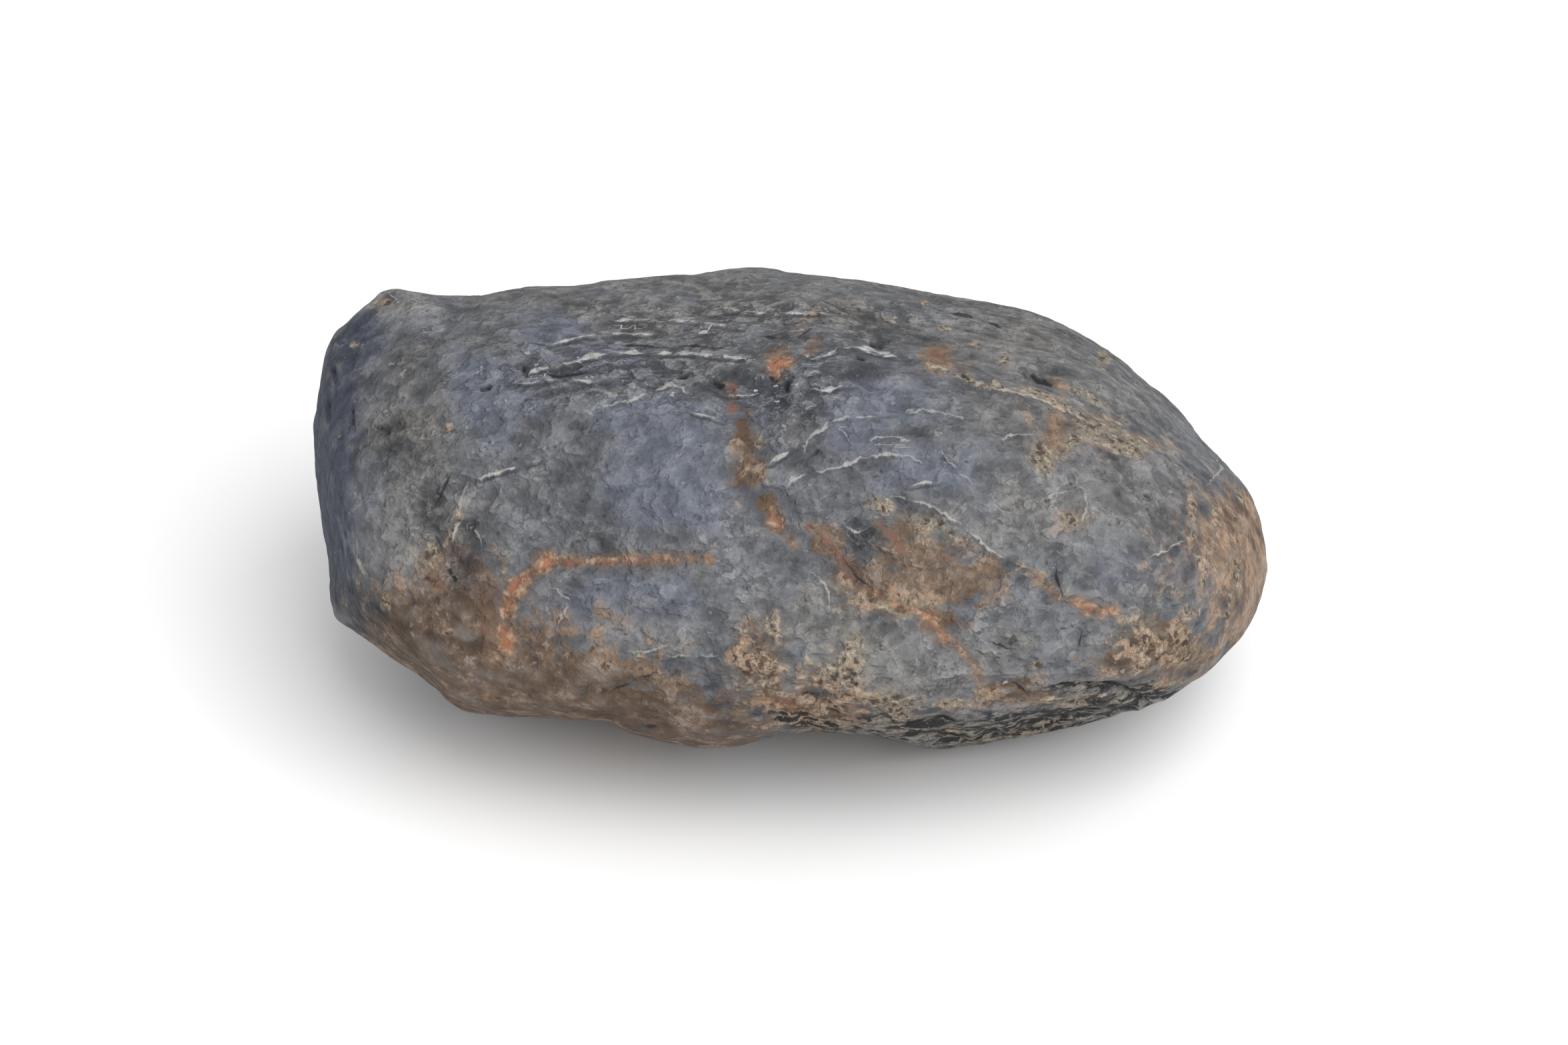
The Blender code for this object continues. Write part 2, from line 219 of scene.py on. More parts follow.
CRACKS = {
    "front": [
        (0.20, 0.6, [
            (33.0, -22.6), (36.6, -22.5), (39.9, -22.6), (42.6, -23.1), (44.4, -24.0), (45.8, -24.7),
        ]),
        (0.24, 0.6, [
            (28.2, -27.3), (30.6, -27.0), (34.8, -26.2), (36.9, -25.8), (40.8, -25.8), (44.0, -25.2),
        ]),
        (0.26, 0.5, [(23.4, -28.6), (27.2, -28.1)]),
        (0.22, 0.45, [(13.9, -27.2), (17.0, -26.9), (19.3, -26.7), (21.2, -27.2)]),
        (0.22, 0.4, [(13.9, -28.5), (19.9, -28.7), (22.9, -29.2)]),
        (0.22, 0.3, [(25.5, -16.8), (27.3, -17.6)]),
        (0.22, 0.35, [(28.5, -22.1), (30.0, -23.6)]),
        (0.2, 0.25, [(36.6, -15.4), (36.5, -17.2), (36.3, -19.2)]),
        (0.2, 0.3, [(33.5, -7.6), (33.6, -9.0), (34.3, -10.8)]),
        (0.26, 0.4, [(11.2, -25.2), (13.0, -26.5)]),
        (0.3, 0.45, [(0.4, -25.6), (1.9, -26.0), (3.5, -25.9)]),
        (0.2, 0.3, [(-31.5, 17.6), (-29.2, 17.0), (-27.0, 17.2), (-24.8, 17.5)]),
        (0.16, 0.2, [(-22.0, 20.7), (-16.5, 20.6), (-11.0, 20.4), (-6.0, 19.9)]),
        (0.2, 0.3, [(1.0, 21.4), (1.8, 22.1), (3.0, 22.6)]),
        (0.2, 0.25, [(-3.4, 21.7), (-1.3, 21.6)]),
        (0.18, 0.25, [(-22.4, -23.2), (-21.2, -22.4), (-20.0, -22.1)]),
        (0.18, 0.25, [(-19.4, -21.6), (-18.0, -21.3), (-16.8, -20.6)]),
        (0.18, 0.25, [(-18.0, -27.4), (-16.4, -27.5)]),
        (0.18, 0.2, [(-23.6, -12.5), (-21.3, -12.8)]),
        (0.12, 0.35, [(-42.4, 4.6), (-43.4, 2.6), (-45.0, -0.8)]),
        (0.12, 0.3, [(-44.6, -3.0), (-43.2, -6.4)]),
        (0.20, 0.3, [(6.8, -6.4), (8.4, -8.6), (10.2, -9.8)]),
        (0.16, 0.2, [(18.0, 25.0), (22.5, 24.2), (27.5, 22.6)]),
    ],
    "back": [
        (0.2, 0.5, [(-44, 2), (-31, -2), (-19, 1), (-10, -3)]),
        (0.24, 0.35, [(20, -14), (28, -16), (39, -13)]),
        (0.2, 0.3, [(-8, -15), (-1, -17), (5, -15.5)]),
        (0.2, 0.3, [(31, 11), (24, 13.6), (16, 13)]),
        (0.18, 0.2, [(-34, 14), (-27, 16), (-19, 15.4)]),
        (0.16, 0.3, [(44, -3), (41, -8), (42, -12)]),
    ],
    "below": [
        (0.3, 0.4, [(-30, 8), (-18, 10), (-7, 7)]),
        (0.22, 0.3, [(14, -10), (22, -7), (33, -9)]),
        (0.2, 0.3, [(28, 12), (36, 8), (41, 1)]),
    ],
}
LEDGES = {
    "front": [
        (0.3, 3.0, [(-6, 19.2), (-14.5, 19.9), (-20.4, 20.0), (-27, 18.6), (-33, 16.8)]),
        (0.22, 2.5, [(-12.8, 14.4), (-15.4, 16.0), (-20, 14.0), (-25, 12.0), (-31, 8.0)]),
        (0.25, 2.5, [(14.5, 6.7), (8.9, 6.6), (2.8, 4.6), (-0.2, 2.7)]),
        (0.2, 2.0, [(10.3, 11.5), (6.0, 11.2), (2.0, 8.0)]),
        (0.3, 2.5, [(50, -17), (44, -21.4), (33, -22.4), (24, -23.6)]),
        (0.25, 2.0, [(16, 25.0), (5, 25.6), (-8, 25.0), (-20, 24.4)]),
    ],
    "back": [
        (0.3, 3.0, [(-10, -3), (-19, 1), (-31, -2), (-44, 2)]),
        (0.25, 3.0, [(44, 6), (31, 11), (16, 13), (4, 10)]),
    ],
    "below": [(0.25, 4.0, [(-36, -6), (-18, -9), (-2, -7)])],
}

SPLIT_PLACES = {
    "front": [
        ((-20, 17), (17, 5)), ((34, -25), (17, 4.5)), ((8, -27), (12, 3)), ((-4, 24), (20, 2)),
        ((-2, 16), (10, 5)),
    ],
    "back": [((-28, 0), (18, 5)), ((26, 12), (16, 5)), ((4, -17), (26, 5))],
    "below": [((0, 0), (24, 10))],
}
split_share = np.zeros(len(form))
for side, group in SPLIT_PLACES.items():
    for middle, half_size in group:
        apart = (((SIDES[side][0] - middle) / half_size) ** 2).sum(axis=1)
        split_share = np.maximum(split_share, np.exp(-apart) * SIDES[side][1])

relief = dents + LAYER_HEIGHT * layers * (0.4 + split_share) + STEP_HEIGHT * steps * (0.5 + split_share)
crack_cut = np.zeros(len(form))
for side, group in CRACKS.items():
    for half_width, depth, corners in group:
        near, across, along, length, share = beside(side, corners, HAIR_REACH)
        open_here = tapered(along, length, CRACK_TAPER) * share
        dip = np.exp(-((across / (half_width + CRACK_EASE)) ** 2)) * depth * open_here
        crack_cut[near] = np.maximum(crack_cut[near], dip)
for side, group in LEDGES.items():
    for drop, run, corners in group:
        near, across, along, length, share = beside(side, corners, 3 * run)
        low_side = smooth_step(across / LEDGE_LIP + 0.5) * np.exp(-np.clip(across / run, 0, None) ** 2)
        relief[near] -= drop * low_side * tapered(along, length, LEDGE_TAPER) * share
relief -= crack_cut

# Rust, veins and lime
# Iron in the stone has rusted along a groove and a trough, quartz filled hairline cracks and the seams
# between beds, and lime grew a pale crust in the hollows. Lines have half widths, and patches have a middle
# and half sizes, all in millimetres.
VEINS = {
    "front": [
        (0.21, [
            (-0.2, 2.8), (0.6, 3.7), (2.8, 4.5), (5.7, 5.3), (7.6, 5.8), (8.9, 6.5), (10.3, 6.7),
            (14.5, 6.5), (16.1, 5.9),
        ]),
        (0.18, [(2.0, 7.6), (2.8, 9.2), (4.4, 10.2), (6.0, 11.2), (7.6, 11.3), (10.3, 11.4)]),
        (0.10, [(6.6, 9.6), (8.1, 8.0)]),
        (0.19, [
            (-24.4, 12.5), (-20.0, 13.8), (-18.3, 14.5), (-16.4, 15.2), (-15.4, 15.8), (-14.0, 15.4),
            (-12.8, 14.3),
        ]),
        (0.20, [(-44.2, 22.0), (-42.6, 23.1), (-41.0, 24.3)]),
        (0.16, [(-39.4, 16.9), (-38.2, 17.6)]),
        (0.17, [(52.7, 3.0), (53.6, 4.2), (54.3, 5.0), (53.8, 6.0)]),
        (0.16, [(45.9, -5.9), (48.1, -4.7), (49.8, -3.9)]),
        (0.18, [(44.4, -7.3), (45.4, -6.2), (47.0, -5.5)]),
        (0.12, [(19.3, 6.6), (21.9, 4.3), (22.8, 3.4)]),
        (0.17, [
            (13.2, 1.4), (16.8, 0.7), (20.0, -1.0), (22.9, -3.1), (24.4, -4.6), (26.4, -6.1),
            (28.8, -7.1),
        ]),
        (0.13, [(7.0, -2.2), (8.4, -3.0), (9.6, -2.6)]),
        (0.17, [(-14.8, -18.7), (-12.9, -18.3), (-9.6, -18.4)]),
        (0.14, [(-19.8, -18.0), (-17.4, -17.8), (-15.6, -17.2)]),
        (0.17, [(-28.9, -14.2), (-28.4, -12.8), (-27.5, -12.0), (-27.9, -11.2), (-29.0, -10.5)]),
        (0.18, [(-54.2, -6.4), (-53.0, -8.7)]),
        (0.13, [(25.6, 8.0), (27.4, 9.1), (30.2, 9.2)]),
        (0.13, [(31.8, 1.2), (33.4, 2.0), (35.2, 2.2)]),
        (0.14, [(-40.6, -1.6), (-39.0, -3.0), (-38.6, -5.4)]),
        (0.12, [(-40.4, 3.4), (-41.2, 0.6), (-41.6, -2.4), (-42.6, -5.0)]),
        (0.11, [(9.0, 8.4), (12.4, 8.8), (16.6, 8.2)]),
        (0.11, [(14.0, 12.0), (18.0, 12.4), (22.6, 11.0)]),
        (0.17, [
            (17.6, 18.0), (19.8, 17.4), (23.2, 15.9), (27.6, 14.6), (30.8, 13.9), (33.4, 12.9),
            (37.9, 10.6),
        ]),
        (0.14, [(-50.4, 27.0), (-48.0, 25.2), (-46.2, 25.4)]),
        (0.15, [(3.0, -8.4), (4.6, -9.8), (5.0, -12.6)]),
        (0.09, [(36.0, 4.0), (37.4, 0.8), (36.2, -2.6)]),
    ],
    "back": [
        (0.22, [(-38, 10), (-30, 12.5), (-20, 11.6), (-9, 14.5), (1, 13), (8, 9.5)]),
        (0.16, [(-19, 9.8), (-16, 6.4), (-15.4, 3.0)]),
        (0.22, [(25, 10), (31, 6), (38, 5), (46, -1)]),
        (0.15, [(9, -5), (14, -8.6), (22, -9.4)]),
        (0.18, [(-47, -8), (-40, -10.6), (-33, -9.6)]),
    ],
    "below": [
        (0.22, [(-40, 2), (-28, 4), (-16, 1), (-4, 3)]),
        (0.17, [(6, 12), (14, 9), (20, 3), (31, 2)]),
    ],
}
STREAKS = {
    "front": [
        (0.27, [
            (-32.8, 17.2), (-30.0, 18.0), (-27.1, 18.4), (-24.7, 19.2), (-20.4, 19.7), (-14.5, 19.6),
            (-11.1, 19.4),
        ]),
        (0.34, [(-11.8, 19.4), (-8.6, 19.2), (-6.0, 18.8)]),
        (0.28, [(-33.4, 15.8), (-30.6, 16.2), (-28.2, 16.7)]),
        (0.22, [(-27.4, 16.2), (-23.0, 15.6)]),
        (0.17, [(-30.0, 20.6), (-24.0, 21.8), (-17.0, 22.0)]),
        (0.12, [(-22.0, 23.6), (-14.0, 23.8), (-6.0, 22.6)]),
        (0.10, [(-8.0, 25.2), (0.0, 24.6), (7.0, 24.8)]),
        (0.17, [(-38.8, 3.8), (-36.4, 4.6), (-34.0, 5.3), (-31.4, 6.0)]),
        (0.28, [(7.0, 20.2), (9.4, 20.1), (12.4, 19.3), (15.0, 18.9)]),
        (0.24, [(3.2, 15.0), (5.4, 15.0), (7.2, 15.4)]),
        (0.20, [(0.8, 11.8), (2.6, 12.8)]),
        (0.22, [(3.0, 18.8), (6.0, 19.9)]),
        (0.22, [(12.0, 24.2), (13.6, 23.2)]),
        (0.20, [(2.0, 16.8), (5.6, 17.4)]),
        (0.24, [(-7.6, 14.2), (-4.4, 14.4)]),
        (0.18, [(-12.0, 12.0), (-8.0, 11.0)]),
        (0.20, [(-2.4, 5.6), (1.0, 7.8)]),
        (0.15, [(-12.2, 22.0), (-9.4, 22.3)]),
        (0.18, [(15.0, 2.8), (18.6, 3.4)]),
    ],
    "back": [
        (0.30, [(-9, 2.6), (-4, 3.2), (2, 2.0)]),
        (0.28, [(14, 20), (19, 20.6), (24, 19.6), (31, 17.0)]),
        (0.24, [(-38, 17), (-30, 19.4), (-21, 20)]),
        (0.24, [(-28, -2), (-20, 1.4), (-12, 0.6)]),
    ],
    "below": [(0.26, [(-18, 12), (-8, 13), (2, 11)])],
}
ORANGE = {
    "front": [
        (0.88, [
            (-35.2, -17.6), (-35.8, -15.8), (-35.7, -13.4), (-35.1, -11.2), (-34.1, -9.6), (-32.4, -8.0),
            (-30.4, -6.9),
        ]),
        (0.44, [(-30.6, -6.8), (-25.6, -6.7), (-20.6, -6.4), (-17.6, -6.6), (-13.4, -6.3), (-10.0, -6.6)]),
        (0.75, [(-2.3, -0.4), (-1.8, -1.6), (-1.0, -2.6)]),
        (0.30, [(-0.8, -2.8), (0.6, -4.6)]),
        (0.66, [(16.8, -13.1), (18.3, -14.7), (19.6, -16.3), (21.0, -17.3)]),
        (0.40, [(21.0, -17.3), (22.4, -18.8), (24.0, -21.4)]),
        (0.58, [(35.6, -11.6), (37.4, -12.5), (40.7, -13.0)]),
        (0.30, [(30.9, -8.6), (32.4, -9.8), (33.8, -11.0)]),
        (0.80, [(-1.8, 18.1), (-0.4, 18.5)]),
        (0.40, [(-2.0, 17.2), (-1.5, 16.9)]),
        (0.26, [(33.4, 16.1), (34.4, 15.2)]),
        (0.48, [(-37.0, -18.6), (-36.9, -18.7)]),
        (0.48, [(-38.1, -23.6), (-38.0, -23.5)]),
        (0.20, [(-23.9, -13.5), (-21.2, -13.7)]),
        (0.36, [(-4.0, -23.6), (-1.0, -24.6), (1.4, -25.6), (3.6, -26.8)]),
        (0.24, [(45.0, -23.0), (47.4, -21.6)]),
        (0.30, [(8.4, -9.8), (12.4, -11.8), (16.8, -13.1)]),
    ],
    "back": [
        (0.45, [(13, 13), (6, 6), (-1, 1.5)]),
        (0.36, [(-5, -7), (-5, -12), (0, -16)]),
        (0.50, [(35, -10), (37, -12)]),
        (0.50, [(-38, -14), (-36, -15)]),
    ],
    "below": [(0.45, [(-14, -12), (-6, -15), (3, -14)]), (0.5, [(30, -4), (33, -5)])],
}
RED = {
    "front": [
        (0.36, [(-28.6, -6.9), (-25.6, -6.9), (-22.6, -6.8)]),
        (0.38, [(-20.6, -6.6), (-17.2, -6.8)]),
        (0.30, [(-16.0, -6.6), (-13.4, -6.5), (-11.6, -6.7)]),
        (0.34, [(2.4, -2.2), (4.4, -4.0), (6.4, -6.2), (8.6, -9.2)]),
        (0.30, [(-7.2, 15.3), (-7.1, 13.8), (-7.2, 12.2)]),
        (0.30, [(-34.6, -10.2), (-33.0, -8.4)]),
        (0.34, [(-1.8, -0.8), (-1.0, -2.9)]),
        (0.50, [(18.0, 19.4), (19.2, 18.9)]),
        (0.26, [(-2.6, -23.4), (-0.4, -24.2), (2.0, -25.2)]),
        (0.32, [(11.2, -1.8), (12.8, -3.4), (14.0, -5.2)]),
        (0.24, [(2.4, 19.8), (3.4, 20.8)]),
        (0.26, [(17.6, -14.2), (18.6, -15.6)]),
        (0.24, [(37.4, -12.9), (39.8, -13.3)]),
        (0.30, [(6.0, -26.2), (9.0, -26.8)]),
        (0.26, [(-45.6, -8.8), (-43.6, -10.0)]),
        (0.26, [(-40.8, -14.8), (-37.6, -15.6)]),
    ],
    "back": [(0.30, [(-40, 0.8), (-34, -1.0)]), (0.3, [(-2, 0.6), (-4.6, -4)])],
    "below": [(0.4, [(8, -3), (15, -4)])],
}
CREAM_LINES = {
    "front": [
        (0.40, [(17.6, 18.0), (19.8, 17.4), (23.2, 15.9), (27.6, 14.6), (30.8, 14.3)]),
        (0.60, [(30.8, 14.0), (33.4, 13.0), (35.3, 11.9), (37.9, 10.7), (40.4, 9.1), (42.4, 8.2)]),
        (0.30, [(33.6, 15.8), (37.2, 14.3), (38.8, 12.8)]),
        (0.44, [(9.4, 0.8), (12.0, 0.5), (14.4, -0.6)]),
        (0.36, [(16.0, -1.0), (18.6, -2.2), (21.4, -4.2)]),
        (0.34, [(15.0, -2.6), (16.6, -4.4), (18.0, -4.0)]),
        (0.42, [(28.8, -7.2), (31.0, -8.4), (32.8, -10.0)]),
        (0.50, [(6.6, -8.4), (8.4, -10.6), (10.6, -11.6)]),
        (0.40, [(-2.2, -14.4), (-1.4, -13.0)]),
        (0.42, [(50.6, 1.0), (50.8, -4.4), (52.0, -9.0)]),
        (0.38, [(55.6, -1.0), (56.2, -8.2), (54.8, -13.4)]),
        (0.30, [(53.4, 0.0), (53.6, -6.0)]),
        (0.26, [(-41.4, -0.6), (-42.6, -3.6), (-45.4, -6.4)]),
        (0.34, [(-33.6, 10.8), (-32.4, 9.4)]),
        (0.24, [(2.8, -1.8), (3.0, -3.6), (4.4, -5.2)]),
        (0.26, [(-5.0, 10.4), (-4.2, 8.6), (-3.4, 8.0)]),
        (0.26, [(-6.4, 5.8), (-5.4, 3.6), (-4.0, 2.4)]),
        (0.20, [(-6.6, 8.6), (-5.8, 7.0), (-6.2, 5.6)]),
        (0.30, [(1.2, 23.0), (2.4, 24.2), (3.6, 24.2)]),
        (0.34, [(30.4, -24.6), (33.0, -24.4), (37.0, -24.0), (41.0, -24.3)]),
        (0.30, [(14.0, -27.6), (18.6, -28.0), (23.0, -29.2), (28.0, -28.4), (34.0, -27.2)]),
        (0.30, [(41.6, -14.0), (44.6, -15.0), (46.8, -17.6)]),
        (0.14, [(-29.0, -6.2), (-24.6, -6.3), (-20.6, -5.9), (-16.4, -6.1), (-11.0, -6.1)]),
        (0.34, [(-35.4, -16.4), (-34.9, -13.6), (-34.4, -11.4), (-32.4, -8.6), (-30.6, -7.3)]),
        (0.30, [(29.6, 12.6), (30.6, 9.6), (32.0, 7.0)]),
    ],
    "back": [
        (0.50, [(-12, 8), (-4, 6.4), (3, 8.4)]),
        (0.60, [(41, 8), (44, 4)]),
        (0.45, [(-47, 6), (-44, 3)]),
        (0.40, [(10, -2), (13, -3.4)]),
        (0.45, [(-30, 5), (-27.4, 4.2)]),
    ],
    "below": [(0.60, [(38, -10), (42, -6)])],
}
CREAM_PATCHES = {
    "front": [
        ((-4.2, -19.6), (5.0, 4.6)), ((1.4, -24.8), (9.4, 3.9)), ((6.4, -21.0), (4.6, 4.4)),
        ((13.0, -24.6), (5.0, 3.0)), ((12.2, 0.3), (1.8, 0.9)), ((17.4, -2.2), (1.2, 1.2)),
        ((8.6, -17.4), (1.6, 2.0)), ((-1.9, -14.6), (1.5, 2.2)), ((13.4, -12.3), (4.4, 1.5)),
        ((9.0, -11.0), (2.8, 1.6)), ((45.0, -17.8), (5.0, 3.6)), ((49.2, -17.6), (3.0, 4.0)),
        ((42.6, 7.8), (4.4, 1.7)), ((38.4, 10.4), (4.0, 1.3)), ((31.5, 7.0), (1.7, 2.6)),
        ((39.4, 18.8), (1.2, 1.8)), ((23.5, 20.8), (1.0, 0.8)), ((19.6, 22.3), (1.1, 0.7)),
        ((16.6, 25.8), (1.2, 0.6)), ((27.2, 18.4), (0.8, 1.0)), ((35.8, -1.4), (1.8, 1.4)),
        ((35.6, 8.5), (1.5, 1.0)), ((12.6, 23.8), (0.9, 0.6)), ((-50.6, 25.8), (1.8, 0.7)),
        ((-54.6, 20.6), (0.8, 0.6)), ((-42.7, 10.1), (0.9, 0.8)), ((-45.0, -5.4), (1.4, 2.0)),
        ((-50.8, -12.0), (0.9, 1.3)), ((-42.4, -15.5), (1.4, 0.7)), ((-39.3, -14.9), (0.8, 1.3)),
        ((-28.1, -18.6), (0.8, 0.6)), ((-23.0, -19.8), (0.7, 0.7)), ((-18.7, -18.6), (0.8, 0.6)),
        ((16.6, -2.6), (2.2, 1.0)), ((-36.6, 4.5), (0.8, 0.4)), ((56.6, 1.4), (0.9, 1.2)),
        ((50.6, -13.4), (2.0, 1.4)), ((36.0, -24.6), (5.0, 0.9)), ((20.6, -24.6), (3.0, 1.2)),
        ((31.0, -19.8), (1.2, 0.8)), ((25.2, -23.2), (1.6, 0.9)), ((40.0, -20.6), (1.8, 0.8)),
    ],
    "back": [((-19, -17), (6, 2.4)), ((31, -17), (4, 2)), ((-6, 12), (2, 1.2)), ((22, -2), (1.6, 1.2))],
    "below": [((-12, -6), (7, 3)), ((22, 6), (4, 2))],
}
PITS = {
    "front": [
        (0.42, [(-9.2, 15.8), (-8.4, 15.4)]),
        (0.40, [(-2.2, 16.6), (-1.8, 16.2)]),
        (0.42, [(-0.4, 15.8), (-0.3, 15.0)]),
        (0.30, [(10.4, 20.6), (11.6, 20.3)]),
        (0.30, [(8.6, 19.0), (9.4, 18.8)]),
        (0.30, [(-13.8, 16.5), (-13.0, 16.6)]),
        (0.22, [(-57.3, 17.4), (-57.0, 16.2)]),
        (0.20, [(-57.9, 13.2), (-57.8, 11.2)]),
        (0.22, [(-54.9, 12.4), (-54.8, 10.2)]),
        (0.34, [(-38.6, 15.0), (-37.6, 15.3)]),
        (0.34, [(-51.6, 10.3), (-50.4, 9.6)]),
        (0.28, [(-48.8, 10.8), (-48.6, 10.2)]),
        (0.36, [(-33.3, 17.9), (-33.0, 16.9)]),
        (0.30, [(30.6, 16.9), (31.4, 16.2)]),
        (0.34, [(31.9, 16.2), (32.8, 15.8)]),
        (0.22, [(29.4, 17.2), (29.9, 16.7)]),
        (0.34, [(21.6, 16.9), (22.4, 16.4)]),
        (0.26, [(3.0, 6.6), (3.6, 7.2)]),
        (0.30, [(8.4, -9.2), (9.0, -9.6)]),
        (0.28, [(-3.9, -17.4), (-3.4, -17.6)]),
        (0.26, [(44.8, 1.8), (45.4, 1.4)]),
        (0.30, [(-45.8, -8.8), (-44.6, -9.2)]),
        (0.28, [(-42.8, -7.6), (-42.0, -9.0)]),
        (0.30, [(1.6, -23.2), (3.2, -23.4)]),
        (0.30, [(7.4, -21.0), (8.4, -22.2)]),
        (0.30, [(4.6, -25.2), (6.2, -25.8)]),
        (0.24, [(46.2, -19.2), (47.0, -18.4)]),
    ],
    "back": [
        (0.40, [(12, 14), (12.8, 13.6)]),
        (0.36, [(-20, 4), (-19.4, 4.2)]),
        (0.40, [(34, -4), (34.8, -4.6)]),
        (0.36, [(-4, -16), (-3.2, -16.2)]),
        (0.34, [(-35, 6), (-34.6, 5.4)]),
        (0.36, [(47, 3), (47, 2)]),
    ],
    "below": [
        (0.4, [(-8, 8), (-7, 8.4)]),
        (0.36, [(24, -4), (24.8, -4)]),
        (0.36, [(-32, -10), (-31.4, -10.6)]),
    ],
}
LEAVES = {
    "front": [
        (1.5, [(12.0, -27.8), (20.0, -28.2), (30.0, -27.0), (40.0, -25.4), (47.0, -22.8)]),
        (1.0, [(-1.0, -26.2), (5.0, -27.2), (11.0, -27.2)]),
        (0.6, [(32.4, -22.6), (38.0, -22.8), (44.0, -24.2)]),
    ],
    "back": [(1.4, [(-30, -15), (-12, -18), (8, -17)])],
    "below": [(1.2, [(-40, 14), (-20, 16), (0, 14)])],
}

LINE_REACH, LINE_FALL = 0.9, 1.5  # millimetres across a hairline where its width holds, and its fall beyond
LINE_TAPER = 2.0  # millimetres at each end of a hairline
DASH_SPAN = 2.4  # millimetres from one thick stretch of a line to the next
PATCH_DEPTH, PATCH_EASE = 1.5, 0.45  # how boldly a patch shows in its middle, and how far its edge frays
BAND_REACH = 2.0  # millimetres past a band's edge that it frays in
NOWHERE = -3.0  # a point that is away from all marks counts as this far inside one


def thin_lines(lines, broken):
    """For hairlines: how far across the nearest line each point is, and the half width that the line has
    there, which is under 0 away from all of them and, on broken lines, in their gaps."""
    layer = np.tile([FAR, NOWHERE], (len(form), 1))
    started = 0
    for side, group in lines.items():
        for half_width, *_, corners in group:
            near, across, along, length, share = beside(side, corners, HAIR_REACH)
            ends = 0.4 + 0.6 * tapered(along, length, min(LINE_TAPER, length / 2))
            run = np.stack([started + along, across / 2, 0 * along], axis=1)
            dashes = 1 - broken / 2 + 2 * broken * uneven(run, DASH_SPAN, 2)
            wide = half_width * ends * share * dashes
            wide -= LINE_FALL * np.clip(np.abs(across) - LINE_REACH, 0, None)
            best = wide > layer[near, 1]
            layer[near[best]] = np.stack([across, wide], axis=1)[best]
            started += length
    return layer


def broad_lines(lines, varied):
    """For bands and spots, whose width may vary along them: how far inside the nearest one each point is, and
    under 0 outside them."""
    inside = np.full(len(form), NOWHERE)
    started = 0
    for side, group in lines.items():
        for half_width, corners in group:
            near, across, along, length, share = beside(side, corners, half_width + BAND_REACH)
            run = np.stack([started + along, across / 2, 0 * along], axis=1)
            depth = half_width * (1 + varied * uneven(run, DASH_SPAN, 2)) - np.abs(across)
            inside[near] = np.maximum(inside[near], depth - (1 - share) * half_width * 2)
            started += length
    return inside


def round_patches(patches):
    """The same for oval patches, each with its middle and half sizes."""
    inside = np.full(len(form), NOWHERE)
    for side, group in patches.items():
        places, share = SIDES[side]
        for middle, half_size in group:
            reach = np.sqrt((((places - middle) / half_size) ** 2).sum(axis=1))
            depth = np.where(share > 0.5, (1 - reach) * PATCH_DEPTH - PATCH_EASE, NOWHERE)
            inside = np.maximum(inside, depth)
    return inside


veins, streaks, cracks = thin_lines(VEINS, 0.9), thin_lines(STREAKS, 1.3), thin_lines(CRACKS, 0.7)
orange, red, pits = broad_lines(ORANGE, 1.0), broad_lines(RED, 1.0), broad_lines(PITS, 0.0)
leaves = broad_lines(LEAVES, 0.4)
cream = np.maximum(broad_lines(CREAM_LINES, 1.0), round_patches(CREAM_PATCHES))

CRUST_HEIGHT, CRUST_GAPS = 0.20, 0.55  # millimetres, as are the next three
PIT_DEPTH = 0.45
RUST_DEPTH = 0.12
VEIN_HEIGHT = 0.07

lumpy = np.abs(uneven(form + 90, 1.7, 3))
relief += smooth_step((cream + 0.35) / 0.8) * (CRUST_HEIGHT - CRUST_GAPS * lumpy)
relief -= PIT_DEPTH * smooth_step((pits + 0.3) / 0.7)
relief -= RUST_DEPTH * smooth_step((np.maximum(orange, red) + 0.3) / 0.9)
relief += VEIN_HEIGHT * smooth_step((veins[:, 1] + 0.15 - np.abs(veins[:, 0])) / 0.4)
carve(relief)

